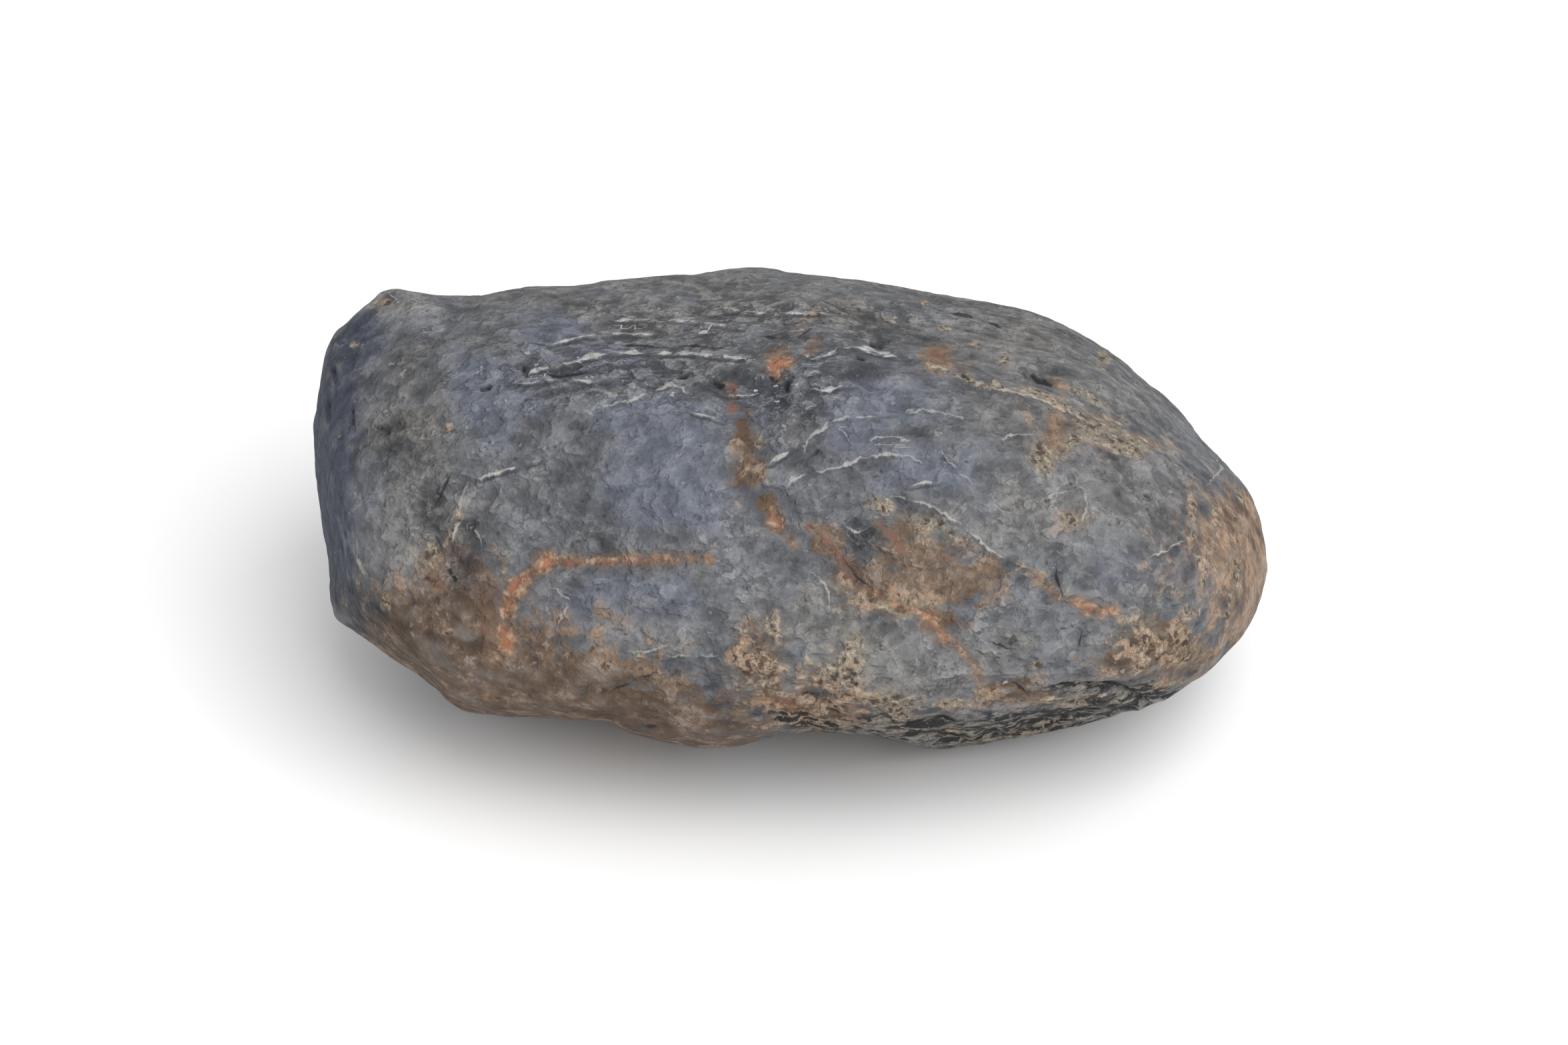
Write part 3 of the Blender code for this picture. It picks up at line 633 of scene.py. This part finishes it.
# Stains in the slate
# Broad changes of colour with soft edges: brown where iron seeped out, blue where the slate is fresh and
# smooth, and olive where algae grew on it. Each is a middle and half sizes, in millimetres.
STAINS = {
    "brown": {
        "front": [
            ((-47, -15.5), (9, 5)), ((-38, -22), (14, 8)), ((-24, -26), (16, 6)),
            ((-12, -28), (10, 4.5)), ((16, -6.0), (5, 2.4)), ((20.5, -9.4), (4.6, 2.4)),
            ((12, -9.4), (4, 2.2)), ((-5.6, 9.0), (1.4, 3.0)), ((14.2, -3.0), (2.4, 1.4)),
            ((24.8, -7.8), (2.2, 1.3)), ((19, -14.4), (2.6, 1.6)), ((-40, -17), (6, 3.4)),
            ((-39.5, -12.5), (5, 4)), ((-25, -20.5), (9, 3)), ((47, -17.6), (4.4, 3.4)),
            ((-4, -19.4), (3.4, 3.2)), ((28, -23), (5, 1.8)), ((42, -20), (4.6, 2.2)),
            ((33.4, 9.6), (1.6, 2.4)), ((57, -3), (4, 5)), ((-41, -9), (4, 4)), ((1.6, -24.6), (8, 3.2)),
            ((18.5, 19), (2.0, 1.4)), ((4.6, -4.2), (2.4, 1.7)), ((7.4, -8.0), (1.8, 1.8)),
            ((-1.6, 19.6), (1.4, 1.2)), ((-5.4, 4.0), (1.7, 2.6)), ((-3.0, 0.6), (1.8, 1.8)),
        ],
        "back": [
            ((-38, -13), (14, 7)), ((33, -14), (14, 6)), ((2, 0), (5, 9)), ((42, 8), (6, 5)),
            ((-14, -18), (10, 5)),
        ],
        "below": [
            ((-14, -6), (20, 8)), ((30, 2), (12, 10)), ((2, 12), (12, 5)), ((-32, 2), (15, 6)),
            ((-46, -5), (7, 5)),
        ],
    },
    "blue": {
        "front": [
            ((-17, 9), (8, 5.5)), ((-30, 22.5), (7, 3)), ((-38, 14), (8, 5)), ((-58, 4), (4, 14)),
            ((-14, 1.5), (10, 4)), ((8, 10), (6, 4)), ((18, 5), (7, 4)), ((41, -6), (4, 4)),
            ((-21, -12), (9, 3.5)), ((-4, 13), (6, 5)), ((-24, 18), (10, 3)), ((-53, 21), (3, 3)),
            ((14, 14), (8, 4)),
        ],
        "back": [
            ((-20, 9), (10, 6)), ((22, 4), (10, 7)), ((0, -8), (7, 7)), ((-50, 0), (6, 9)),
            ((50, -4), (6, 9)),
        ],
        "below": [((10, -4), (12, 7)), ((-32, 4), (10, 8))],
    },
    "olive": {
        "front": [
            ((0, 26), (32, 4)), ((-46, 12), (4, 5)), ((12, -17), (8, 4)), ((2, -13), (8, 4)),
            ((16, -23), (7, 4)), ((26, -19), (8, 5)), ((29, 0), (6, 5)), ((28, 20), (10, 4)),
            ((40, -20), (8, 4)), ((20, -26), (12, 3)), ((-44, 0), (4.6, 5.4)),
        ],
        "back": [((0, 20), (30, 6)), ((-8, -12), (9, 5)), ((36, 0), (8, 8)), ((-34, 4), (9, 6))],
        "below": [((0, 4), (16, 8)), ((-24, -14), (14, 6))],
    },
}

# What dried on the slate: a tan film of iron and a pale chalky bloom. With them, dark patches of painted shade
# in the trough, the low places and along the lower edge.
FILMS = {
    "tan": {
        "front": [
            ((54.4, -4.6), (7.6, 6.8)), ((57, -12), (5, 6)), ((42.6, 7.8), (5.0, 1.6)),
            ((37, 10.8), (5, 1.3)), ((32.0, 8.0), (1.6, 2.6)), ((35.6, -1.5), (2.0, 1.6)),
            ((49, -19), (5, 3)), ((12.5, -12), (5, 1.8)), ((20, 17.6), (3, 0.8)),
        ],
        "back": [((-54, -6), (7, 9)), ((26, -18), (10, 4)), ((-10, 14), (6, 3))],
        "below": [((46, 0), (9, 10)), ((-8, -4), (8, 4))],
    },
    "low_shade": {
        "front": [
            ((-2, 14.5), (6, 3)), ((-7.5, 15.5), (3.5, 2)), ((8, 17.5), (6, 1.8)),
            ((-55.5, -13), (4, 4)), ((30, -28.4), (14, 1.5)), ((-26, 17.6), (8, 1.0)),
            ((33, -9.6), (1.6, 2.6)), ((-41, -7), (2.5, 4)), ((-44.6, 0.6), (1.8, 4.4)),
            ((2.5, -24), (4, 1.4)), ((10, 21), (6, 1.2)), ((1, 21.6), (4, 1.2)), ((9, -3.4), (3.4, 2.2)),
            ((22.6, 15.4), (3, 1.2)), ((31.6, 16.4), (2.4, 1.2)),
        ],
        "back": [((-30, -1), (12, 2)), ((-4, -13), (5, 5)), ((36, -9), (6, 3))],
        "below": [((-10, 10), (14, 4)), ((26, -8), (12, 4))],
    },
    "chalk": {
        "front": [
            ((33, 13), (14, 6)), ((41, 1), (9, 8)), ((28, 21), (12, 3)), ((14, -20), (14, 4)),
            ((-48, -4), (5, 6)), ((-20, -16), (8, 3)), ((-50, 26), (5, 2)), ((17, -5), (8, 5)),
        ],
        "back": [((-30, 10), (16, 7)), ((20, 6), (12, 6)), ((10, 22), (16, 3))],
        "below": [((-20, 0), (14, 8)), ((24, 4), (12, 6))],
    },
}

STAIN_FALL = 0.7  # how quickly a stain fades from its middle
HOLLOW_ROUNDS = 8  # how wide round a point the surface is averaged


def stained(patches):
    """How far each point is in a group of patches, 1 in their middles and 0 well outside them."""
    share_in = np.zeros(len(form))
    for side, group in patches.items():
        places, share = SIDES[side]
        for middle, half_size in group:
            apart = (((places - middle) / half_size) ** 2).sum(axis=1)
            share_in = np.maximum(share_in, np.exp(-STAIN_FALL * apart) * share)
    return share_in


def hollows():
    """How far each point lies below the surface round it, in millimetres, and under 0 on a ridge."""
    ends = np.empty(len(stone.data.edges) * 2, np.int32)
    stone.data.edges.foreach_get("vertices", ends)
    first, second = ends.reshape(-1, 2).T
    points, around = read_points(), read_points()
    neighbours = np.bincount(ends, minlength=len(points))[:, None]
    for _ in range(HOLLOW_ROUNDS):
        total = np.zeros_like(around)
        for axis in range(3):
            total[:, axis] = np.bincount(first, around[second, axis], len(points))
            total[:, axis] += np.bincount(second, around[first, axis], len(points))
        around = total / neighbours
    return ((around - points) * read_outward()).sum(axis=1) / MM


def keep(name, *columns):
    """Stores up to three numbers at each point of the stone, for its material to read."""
    numbers = np.zeros((len(form), 3), np.float32)
    numbers[:, : len(columns)] = np.stack(columns, axis=1)
    stone.data.attributes.new(name, "FLOAT_VECTOR", "POINT").data.foreach_set("vector", numbers.ravel())


keep("veins", *veins.T)
keep("streaks", *streaks.T)
keep("cracks", *cracks.T)
keep("crust", orange, red, cream)
keep("stains", *(stained(patches) for patches in STAINS.values()))
keep("films", *(stained(patches) for patches in FILMS.values()))
keep("beds", bed, split_share, hollows())
keep("pits", pits, leaves)

# Slate, as a material
# Fine mud turned to stone: blue-grey and matt, mottled with olive and brown. It is wrinkled all over in curls
# and in short streaks along its beds, each with a pale lip of painted highlight and a dark foot of painted
# shade. What is too fine to carve is a bump.
SLATE_GREY = (0.114, 0.118, 0.129, 1)
SLATE_BLUE = (0.108, 0.118, 0.145, 1)
SLATE_OLIVE = (0.128, 0.120, 0.106, 1)
SLATE_CHALK = (0.172, 0.166, 0.158, 1)
# Painted shade: laid in hollows, low places, wrinkle feet, and under veins and streaks
PAINTED_SHADE_DARK = (0.036, 0.036, 0.042, 1)
# Pale flecks of the slate, and painted highlight on wrinkle lips and ridges
PALE_FLECK_AND_HIGHLIGHT = (0.270, 0.268, 0.262, 1)
END_BLUE_AND_SHADE = (0.034, 0.041, 0.064, 1)
END_TAN = (0.262, 0.174, 0.112, 1)
END_BROWN = (0.180, 0.112, 0.070, 1)
IRON_BROWN = (0.108, 0.066, 0.040, 1)
IRON_TAN = (0.172, 0.115, 0.076, 1)
IRON_DARK = (0.040, 0.028, 0.022, 1)
RUST_ORANGE = (0.300, 0.180, 0.115, 1)
RUST_BRIGHT = (0.340, 0.138, 0.080, 1)
RUST_BROWN = (0.165, 0.098, 0.062, 1)
RUST_RED = (0.165, 0.078, 0.062, 1)
LIME_CREAM = (0.420, 0.350, 0.270, 1)
LIME_TAN = (0.195, 0.158, 0.124, 1)
LIME_GREEN = (0.168, 0.156, 0.122, 1)
VEIN_GREY = (0.380, 0.375, 0.350, 1)
# Quartz white, also used for painted glints and for the painted highlight of the white streaks
QUARTZ_AND_GLINT = (0.480, 0.500, 0.530, 1)
SHADE_BLACK = (0.014, 0.014, 0.016, 1)


class Value:
    """A socket of the slate's shader. Sums and products of values add its Math nodes."""

    tree = None

    def __init__(self, socket):
        self.socket = socket

    @classmethod
    def node(cls, kind, settings, sockets, output=0):
        """Adds a node with these settings, and with these values or links in its sockets."""
        made = cls.tree.nodes.new(kind)
        for name, setting in settings.items():
            setattr(made, name, setting)
        for name, value in sockets.items():
            if isinstance(value, cls):
                cls.tree.links.new(value.socket, made.inputs[name])
            else:
                made.inputs[name].default_value = value
        return cls(made.outputs[output])

    def maths(self, operation, *others):
        return Value.node("ShaderNodeMath", {"operation": operation}, dict(enumerate((self, *others))))

    def __add__(self, other):
        return self.maths("ADD", other)

    __radd__ = __add__

    def __mul__(self, other):
        return self.maths("MULTIPLY", other)

    def __sub__(self, other):
        return self.maths("SUBTRACT", other)

    def __rsub__(self, other):
        return Value.node("ShaderNodeMath", {"operation": "SUBTRACT"}, {0: other, 1: self})

    def __abs__(self):
        return self.maths("ABSOLUTE")

    def rises(self, low, high):
        """0 at low, 1 at high, and smooth between them, whichever of the two is the larger."""
        settings = {"interpolation_type": "SMOOTHSTEP"}
        return Value.node("ShaderNodeMapRange", settings, {"Value": self, "From Min": low, "From Max": high})

    def line(self, middle, half_width):
        """1 where the value is middle, and 0 from half_width away."""
        return abs(self - middle).rises(half_width, 0.0)

    def split(self):
        """The three numbers of a vector."""
        return [Value.node("ShaderNodeSeparateXYZ", {}, {0: self}, output=axis) for axis in range(3)]


def kept(name):
    return Value.node("ShaderNodeAttribute", {"attribute_name": name}, {}, output="Vector").split()


def joined(x, y, z):
    return Value.node("ShaderNodeCombineXYZ", {}, {0: x, 1: y, 2: z})


def cloudy(places, span, detail=3.0, rough=0.55, shift=0.0, output=0):
    """Random shares about 0.5, in clouds span millimetres across."""
    moved = Value.node("ShaderNodeVectorMath", {"operation": "ADD"}, {0: places, 1: (shift, shift, shift)})
    sockets = {"Vector": moved, "Scale": 1 / span, "Detail": detail, "Roughness": rough}
    return Value.node("ShaderNodeTexNoise", {}, sockets, output)


def mixed(share, without, with_it):
    """The first colour where share is 0, and the second where it is 1."""
    settings = {"data_type": "RGBA", "clamp_factor": True}
    return Value.node("ShaderNodeMix", settings, {0: share, 6: without, 7: with_it}, output=2)


slate = bpy.data.materials.new("slate_with_rust_and_veins")
slate.use_nodes = True
Value.tree = slate.node_tree
surface = slate.node_tree.nodes["Principled BSDF"]

here = Value.node("ShaderNodeTexCoord", {}, {}, output="Object")
here = Value.node("ShaderNodeVectorMath", {"operation": "SCALE"}, {0: here, "Scale": 1 / MM})
right_left, front_back, height = here.split()
bed_here, split_here, hollow = kept("beds")
brown, blue, olive = kept("stains")
orange_in, red_in, cream_in = kept("crust")
vein_across, vein_wide, _ = kept("veins")
streak_across, streak_wide, _ = kept("streaks")
crack_across, crack_wide, _ = kept("cracks")
tan, low_shade, chalk = kept("films")
pit_in, leaf_in, _ = kept("pits")

drift = cloudy(here, 4.0, 2.0, shift=3.0, output="Color")
drifted = Value.node("ShaderNodeVectorMath", {"operation": "MULTIPLY_ADD"}, {0: drift, 1: (2, 2, 2), 2: here})
broad = cloudy(here, 11, 4.0, 0.6, shift=31.0)
patchy = cloudy(here, 4.0, 4.0, 0.6, shift=11.0)
curls = cloudy(drifted, 2.3, 3.0, 0.55, shift=17.0)
small_curls = cloudy(drifted, 1.05, 2.0, 0.55, shift=23.0)
grains = cloudy(here, 0.5, 1.0, 0.5, shift=37.0)
specks = cloudy(here, 1.2, 2.0, 0.5, shift=43.0)
wavy_bed = bed_here + (curls - 0.5) * 2.0
streaky = cloudy(joined(right_left * 0.4, front_back * 0.4, wavy_bed * 0.8), 1.0, 2.5, 0.5)
curled_bed = wavy_bed + (curls - 0.5) * 2.0
leafy = cloudy(joined(right_left * 0.45, front_back * 0.45, curled_bed), 1.0, 2.5, 0.55, shift=14.0)
ends = cloudy(joined(right_left * 0.7, front_back * 0.35, height * 0.3), 1.0, 3.0, 0.6, shift=5.0)

# The plain slate, with soft changes of hue
end_share = abs(right_left).rises(46.0, 55.0)
olive_share = (olive * 0.45 + (patchy - 0.5) * 1.6 + (0.5 - broad) * 1.6).rises(0.0, 0.7)
colour = mixed(olive_share * 0.7, SLATE_GREY, SLATE_OLIVE)
blue_share = (blue + (broad - 0.5) * 1.6 + (patchy - 0.5) * 0.8 - olive * 0.8).rises(0.1, 0.9)
colour = mixed(blue_share, colour, SLATE_BLUE)
colour = mixed((chalk + (patchy - 0.5) * 1.2).rises(0.1, 1.0) * 0.55, colour, SLATE_CHALK)
brown_edge = brown * 1.5 + (patchy - 0.5) * 2.8 + (curls - 0.5) * 1.8
brown_share = brown_edge.rises(0.3, 1.0) * brown.rises(0.02, 0.25)
iron = mixed((patchy + chalk * 0.3).rises(0.48, 0.7), IRON_BROWN, IRON_TAN)
colour = mixed(brown_share * 0.92, colour, iron)
tan_share = (tan + (patchy - 0.5) * 1.6 + (curls - 0.5) * 1.6).rises(0.24, 0.84) * tan.rises(0.02, 0.25)
dried = mixed(((ends + curls) * 0.5 + (patchy - 0.5) * 0.4).rises(0.44, 0.56), END_BROWN, END_TAN)
colour = mixed(tan_share * (0.5 + end_share * 0.35), colour, dried)
# The left end is painted dark blue: partly the slate's own colour, partly painted shade of the end that faces
# away from the lamp
left_end_blue_and_shade = (right_left + (patchy - 0.5) * 9 + (broad - 0.5) * 7 + (curls - 0.5) * 5).rises(-50.0, -54.5)
colour = mixed(left_end_blue_and_shade * (0.6 + patchy * 0.5), colour, END_BLUE_AND_SHADE)
# Painted shade: dark patches in the trough, the low places and along the lower edge
colour = mixed((low_shade + (curls - 0.5) * 0.8).rises(0.1, 0.9) * 0.6, colour, PAINTED_SHADE_DARK)

# Mottling, by light and dark alone, quieter where the slate is smooth and blue
tone = (curls - 0.5) * 1.1 + (small_curls - 0.5) * 0.4 + (patchy - 0.5) * 2.1 + (broad - 0.5) * 1.4
tone = tone * (1.0 - blue * 0.35 - end_share * 0.3)
layered = 1 - end_share.maths("MAXIMUM", brown) * 0.7
tone += (streaky - 0.5) * (0.9 + split_here * 1.0) * layered + (ends - 0.5) * end_share * 1.4
colour = Value.node("ShaderNodeVectorMath", {"operation": "SCALE"}, {0: colour, "Scale": tone + 1.0})

# Wrinkles, in crowds: each has a pale lip of painted highlight and a dark foot of painted shade, as have the
# short streaks along the beds
crinkled = (patchy + split_here * 0.14 + chalk * 0.04 - blue * 0.12).rises(0.43, 0.58)
highlit_lips = curls.line(0.60, 0.04) * 0.35 + small_curls.line(0.61, 0.06) * 0.3
shaded_feet = curls.line(0.545, 0.04) * 0.3 + small_curls.line(0.40, 0.06) * 0.35
streak_highlit_lips = streaky.line(0.59, 0.04) * (0.2 + split_here * 0.3) * layered
streak_shaded_feet = streaky.line(0.43, 0.05) * (0.25 + split_here * 0.5) * layered
colour = mixed(highlit_lips * crinkled + streak_highlit_lips, colour, PALE_FLECK_AND_HIGHLIGHT)
colour = mixed(shaded_feet * crinkled + streak_shaded_feet, colour, PAINTED_SHADE_DARK)

# Pale specks, white quartz grains that are partly painted glints, and dark pores
colour = mixed(specks.rises(0.69, 0.76) * 0.5, colour, PALE_FLECK_AND_HIGHLIGHT)
colour = mixed((specks + split_here * 0.03).rises(0.70, 0.76) * split_here * 0.7, colour, QUARTZ_AND_GLINT)
colour = mixed(specks.rises(0.34, 0.27) * 0.5, colour, SHADE_BLACK)

# Painted light and shade: ridges are painted pale, partly as rubbed wear and partly as highlight, and hollows
# are painted dark as shade
colour = mixed((hollow * -1).rises(0.03, 0.2) * 0.35, colour, PALE_FLECK_AND_HIGHLIGHT)
colour = mixed(hollow.rises(0.03, 0.24) * 0.75, colour, PAINTED_SHADE_DARK)

# Crust: tan or greenish, browner over iron, with cream curls and dark gaps
ragged = (curls - 0.5) * 2.8 + (patchy - 0.5) * 2.0 + (small_curls - 0.5) * 1.2
crust_share = (cream_in + ragged).rises(-0.3, 0.35)
crust = mixed(patchy.rises(0.42, 0.6), LIME_TAN, LIME_GREEN)
flecked = small_curls * 0.5 + specks * 0.3 + grains * 0.2
crust = mixed((brown + (curls - 0.5) * 4).rises(0.3, 0.9) * 0.6, crust, RUST_ORANGE)
crust = mixed((brown - (curls - 0.5) * 4 + (patchy - 0.5) * 2).rises(0.5, 1.1) * 0.8, crust, IRON_BROWN)
crust = mixed(flecked.rises(0.485, 0.43) * 0.9, crust, IRON_DARK)
crust = mixed(small_curls.line(0.54, 0.035) * 0.65 + flecked.rises(0.545, 0.60) * 0.75, crust, LIME_CREAM)
colour = mixed((cream_in + (patchy - 0.5) * 3).rises(-0.8, 0.6) * 0.35, colour, LIME_TAN)
colour = mixed(crust_share * 0.85, colour, crust)

# Rust: a tan halo, frayed orange and red bands, and bright orange where it is thickest
frayed = (small_curls - 0.5) * 1.3 + (curls - 0.5) * 1.3 + (grains - 0.5) * 0.3
rusted = red_in.maths("MAXIMUM", orange_in)
colour = mixed((rusted + frayed).rises(-1.1, 0.3) * 0.5, colour, IRON_TAN)
rust = mixed(flecked.rises(0.42, 0.56), RUST_BROWN, RUST_ORANGE)
rust = mixed((orange_in + (patchy - 0.5) * 1.2).rises(0.4, 0.66) * 0.8, rust, RUST_BRIGHT)
colour = mixed((orange_in + frayed).rises(-0.15, 0.3) * 0.8, colour, rust)
colour = mixed((red_in + frayed).rises(-0.15, 0.3) * 0.75, colour, RUST_RED)
colour = mixed((orange_in + 0.1).rises(-0.1, 0.4) * flecked.rises(0.53, 0.60) * 0.45, colour, LIME_CREAM)
colour = mixed((rusted + 0.1).rises(-0.3, 0.3) * flecked.rises(0.42, 0.36) * 0.4, colour, IRON_DARK)

# Leaves of slate split open along the lower edge
leaf_share = leaf_in.rises(-0.8, 0.6)
colour = mixed(leaf_share * 0.15, colour, LIME_TAN)
leafy = leafy + (small_curls - 0.5) * 0.3
colour = mixed(leafy.line(0.56, 0.05) * leaf_share * 0.5, colour, LIME_GREEN)
colour = mixed(leafy.line(0.61, 0.03) * leaf_share * 0.6, colour, LIME_CREAM)
colour = mixed(leafy.rises(0.51, 0.44) * leaf_share * 0.93, colour, SHADE_BLACK)

# Veins of grey quartz and broken white streaks, each with a painted shadow under it, cracks and pits
wavering = (small_curls - 0.5) * 1.0 + (curls - 0.5) * 0.8
vein_edge = vein_wide - abs(vein_across + wavering)
vein_share = vein_edge.rises(-0.12, 0.14) * vein_wide.rises(0.0, 0.05)
# Painted shadow: a dark line along the lower side of each vein
vein_painted_shadow = (vein_across + wavering + 0.4).line(0.0, 0.3) * vein_wide.rises(-0.1, 0.15)
colour = mixed(vein_painted_shadow * 0.35, colour, PAINTED_SHADE_DARK)
colour = mixed(vein_share * 0.75, colour, VEIN_GREY)

streak_edge = streak_wide - abs(streak_across + wavering * 0.5)
streak_share = streak_edge.rises(-0.12, 0.14) * streak_wide.rises(0.0, 0.05)
# Painted shadow: a dark line along the lower side of each streak
streak_painted_shadow = (streak_across + wavering * 0.5 + 0.5).line(0.0, 0.35) * streak_wide.rises(-0.3, 0.1)
colour = mixed(streak_painted_shadow * 0.75, colour, PAINTED_SHADE_DARK)
# The streaks stand on ledge edges, and their white is partly quartz, partly painted highlight
streak_colour = mixed(flecked.rises(0.46, 0.56), VEIN_GREY, QUARTZ_AND_GLINT)
colour = mixed(streak_share * 0.85, colour, streak_colour)

crack_edge = crack_wide - abs(crack_across + wavering * 0.6)
crack_share = crack_edge.rises(-0.08, 0.1) * crack_wide.rises(0.0, 0.05)
colour = mixed(crack_share * 0.9, colour, SHADE_BLACK)
pit_share = (pit_in - 0.1 + frayed * 0.5).rises(-0.1, 0.15)
colour = mixed(pit_share * 0.88, colour, SHADE_BLACK)
slate.node_tree.links.new(colour.socket, surface.inputs["Base Color"])

roughness = 0.65 + patchy * 0.15 + crust_share * 0.15 - vein_share * 0.15
slate.node_tree.links.new(roughness.socket, surface.inputs["Roughness"])
surface.inputs["Specular IOR Level"].default_value = 0.18

lumps = curls.rises(0.36, 0.64) * 1.1 + small_curls.rises(0.36, 0.64) * 0.15 + patchy * 2.8
lumps += streaky.rises(0.42, 0.6) * (0.4 + split_here) * layered + leafy.rises(0.42, 0.52) * leaf_share
bump = Value.node("ShaderNodeBump", {}, {"Strength": 0.9, "Distance": 0.32 * MM, "Height": lumps})
slate.node_tree.links.new(bump.socket, surface.inputs["Normal"])

stone.data.materials.clear()
stone.data.materials.append(slate)
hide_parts("pebble")
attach(stone, "root")

# The floor
# A plain sheet of pale matt card under the stone, wide enough to reach past every view. It isn't part of the
# stone, so it is staged.
FLOOR_SIZE = 6.0
CARD = (0.92, 0.92, 0.92, 1)

bpy.ops.object.select_all(action="DESELECT")
bpy.ops.mesh.primitive_plane_add(size=FLOOR_SIZE)
floor = bpy.context.object
floor.name = "floor"
card = bpy.data.materials.new("pale_card")
card.use_nodes = True
card.node_tree.nodes["Principled BSDF"].inputs["Base Color"].default_value = CARD
card.node_tree.nodes["Principled BSDF"].inputs["Roughness"].default_value = 0.9
floor.data.materials.append(card)

# The light
# A bright overcast sky all round, and one wide soft lamp above the front right, so the left end is darker and
# the soft shadow falls to the left.
SKY_STRENGTH = 0.74
LAMP_PLACE = Vector((0.36, -0.42, 0.79))
LAMP_SIZE = 0.8
LAMP_WATTS = 8.0

sky = bpy.data.worlds.new("overcast")
sky.use_nodes = True
sky.node_tree.nodes["Background"].inputs["Color"].default_value = (1.0, 1.0, 1.0, 1)
sky.node_tree.nodes["Background"].inputs["Strength"].default_value = SKY_STRENGTH
bpy.context.scene.world = sky
bpy.ops.object.light_add(type="AREA", location=LAMP_PLACE)
lamp = bpy.context.object
lamp.name = "soft_lamp"
lamp.data.size = LAMP_SIZE
lamp.data.energy = LAMP_WATTS
lamp.rotation_euler = (-LAMP_PLACE).to_track_quat("-Z", "Y").to_euler()
bpy.context.scene.view_settings.view_transform = "Standard"

# The camera
# It looks at the stone's middle from in front and above, from the distance that the marks were read at. The
# stone's middle is a little off the picture's, as it is in the photograph.
PICTURE_WIDE, PICTURE_HIGH = 2352, 1568  # pixels, as are the next two
STONE_MIDDLE = (1184, 762.5)
STONE_WIDE = 1434
STONE_LENGTH = 120 * MM
SENSOR = 36.0

bpy.ops.object.camera_add()
camera = bpy.context.object
camera.name = "camera"
to_viewer = Vector(FRONT[0])
camera.location = Vector(MIDDLE) + to_viewer * SIGHT_DISTANCE
camera.rotation_euler = (-to_viewer).to_track_quat("-Z", "Y").to_euler()
camera.data.sensor_width = SENSOR
camera.data.lens = SENSOR * SIGHT_DISTANCE / (PICTURE_WIDE * STONE_LENGTH / STONE_WIDE)
camera.data.shift_x = (PICTURE_WIDE / 2 - STONE_MIDDLE[0]) / PICTURE_WIDE
camera.data.shift_y = (STONE_MIDDLE[1] - PICTURE_HIGH / 2) / PICTURE_WIDE
camera.data.clip_start = 0.01
bpy.context.scene.camera = camera
